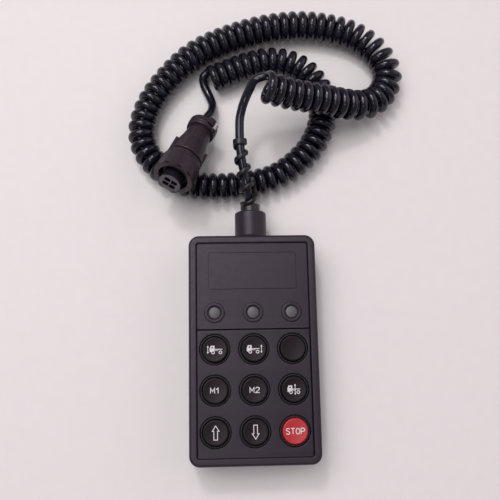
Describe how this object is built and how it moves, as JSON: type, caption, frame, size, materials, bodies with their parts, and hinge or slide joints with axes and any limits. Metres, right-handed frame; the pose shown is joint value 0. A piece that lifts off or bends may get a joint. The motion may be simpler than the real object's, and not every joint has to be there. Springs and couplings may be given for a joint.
{
  "type": "pendant control station",
  "caption": "Handheld pendant control station with a grid of push keys, indicator lamps, a coiled cord and a round bayonet plug.",
  "frame": {"origin": "middle of the housing's flat rear face", "axes": "+Z out of the keypad, +Y along the housing towards the cord, +X to the right of the keypad"},
  "size_m": [0.1886, 0.3053, 0.055],
  "materials": {
    "housing": "fine-textured dark grey moulded plastic",
    "panel": "satin dark grey moulded plastic",
    "label": "smooth dark grey film",
    "gasket": "black rubber",
    "screws": "zinc-plated steel",
    "key_seal": "black silicone",
    "lens": "smoke-grey translucent plastic",
    "led": "diffused white epoxy",
    "board": "green solder mask",
    "chip": "black epoxy",
    "header": "natural nylon",
    "wires": "coloured wire insulation",
    "clamp": "black nylon",
    "cord": "glossy black polyurethane sheath",
    "strain_relief": "glossy black moulded rubber",
    "plug": "brown-black glass-filled plastic",
    "insert": "grey moulded plastic",
    "contacts": "plated brass",
    "spring_steel": "spring steel",
    "plug_screw": "bright nickel-plated steel",
    "key": "satin black plastic",
    "key_stop": "satin red plastic",
    "dome": "white silicone"
  },
  "bodies": {
    "handset": {"front_cover": "housing", "rear_cover": "housing", "cover_gasket": "gasket", "cover_screws": "screws", "indicator_panel": "panel", "keypad_panel": "panel", "label_plate": "label", "keypad_seal": "key_seal", "lens_left": "lens", "lens_middle": "lens", "lens_right": "lens", "indicator_leds": "led", "circuit_board": "board", "board_screws": "screws", "controller_chip": "chip", "cable_header": "header", "signal_wires": "wires", "cable_clamp": "clamp", "cable_clamp_screws": "screws", "cable_core": "cord", "dome_front_axle": "dome", "dome_rear_axle": "dome", "dome_blank": "dome", "dome_memory_1": "dome", "dome_memory_2": "dome", "dome_middle_axle": "dome", "dome_raise": "dome", "dome_lower": "dome", "dome_stop": "dome", "strain_relief": "strain_relief", "cord_lead": "cord", "cord_coil": "cord", "cord_tail": "cord", "plug_shell": "plug", "plug_insert": "insert", "plug_contacts": "contacts", "plug_face_seal": "gasket", "plug_retaining_ring": "spring_steel", "plug_clamp_cap": "plug", "plug_clamp_screw": "plug_screw", "plug_grommet": "gasket", "plug_cable_end": "cord", "plug_wires": "wires"},
    "key_front_axle": {"key_front_axle": "key"},
    "key_rear_axle": {"key_rear_axle": "key"},
    "key_blank": {"key_blank": "key"},
    "key_memory_1": {"key_memory_1": "key"},
    "key_memory_2": {"key_memory_2": "key"},
    "key_middle_axle": {"key_middle_axle": "key"},
    "key_raise": {"key_raise": "key"},
    "key_lower": {"key_lower": "key"},
    "key_stop": {"key_stop": "key_stop"},
    "coupling_ring": {"coupling_ring": "plug"}
  },
  "joints": [
    {"name": "press_front_axle", "type": "slide", "parent": "handset", "child": "key_front_axle", "axis": [0, 0, -1], "range_m": [0, 0.0012], "stiffness_N_per_m": 1000, "springref_m": -0.001, "deforming": ["dome_front_axle"]},
    {"name": "press_rear_axle", "type": "slide", "parent": "handset", "child": "key_rear_axle", "axis": [0, 0, -1], "range_m": [0, 0.0012], "stiffness_N_per_m": 1000, "springref_m": -0.001, "deforming": ["dome_rear_axle"]},
    {"name": "press_blank", "type": "slide", "parent": "handset", "child": "key_blank", "axis": [0, 0, -1], "range_m": [0, 0.0012], "stiffness_N_per_m": 1000, "springref_m": -0.001, "deforming": ["dome_blank"]},
    {"name": "press_memory_1", "type": "slide", "parent": "handset", "child": "key_memory_1", "axis": [0, 0, -1], "range_m": [0, 0.0012], "stiffness_N_per_m": 1000, "springref_m": -0.001, "deforming": ["dome_memory_1"]},
    {"name": "press_memory_2", "type": "slide", "parent": "handset", "child": "key_memory_2", "axis": [0, 0, -1], "range_m": [0, 0.0012], "stiffness_N_per_m": 1000, "springref_m": -0.001, "deforming": ["dome_memory_2"]},
    {"name": "press_middle_axle", "type": "slide", "parent": "handset", "child": "key_middle_axle", "axis": [0, 0, -1], "range_m": [0, 0.0012], "stiffness_N_per_m": 1000, "springref_m": -0.001, "deforming": ["dome_middle_axle"]},
    {"name": "press_raise", "type": "slide", "parent": "handset", "child": "key_raise", "axis": [0, 0, -1], "range_m": [0, 0.0012], "stiffness_N_per_m": 1000, "springref_m": -0.001, "deforming": ["dome_raise"]},
    {"name": "press_lower", "type": "slide", "parent": "handset", "child": "key_lower", "axis": [0, 0, -1], "range_m": [0, 0.0012], "stiffness_N_per_m": 1000, "springref_m": -0.001, "deforming": ["dome_lower"]},
    {"name": "press_stop", "type": "slide", "parent": "handset", "child": "key_stop", "axis": [0, 0, -1], "range_m": [0, 0.0012], "stiffness_N_per_m": 1000, "springref_m": -0.001, "deforming": ["dome_stop"]},
    {"name": "turn_coupling_ring", "type": "hinge", "parent": "handset", "child": "coupling_ring", "pos_m": [-0.04603, 0.1135, 0.03363], "axis": [-0.3832, -0.837, 0.3907], "range_deg": [0, 45]}
  ]
}
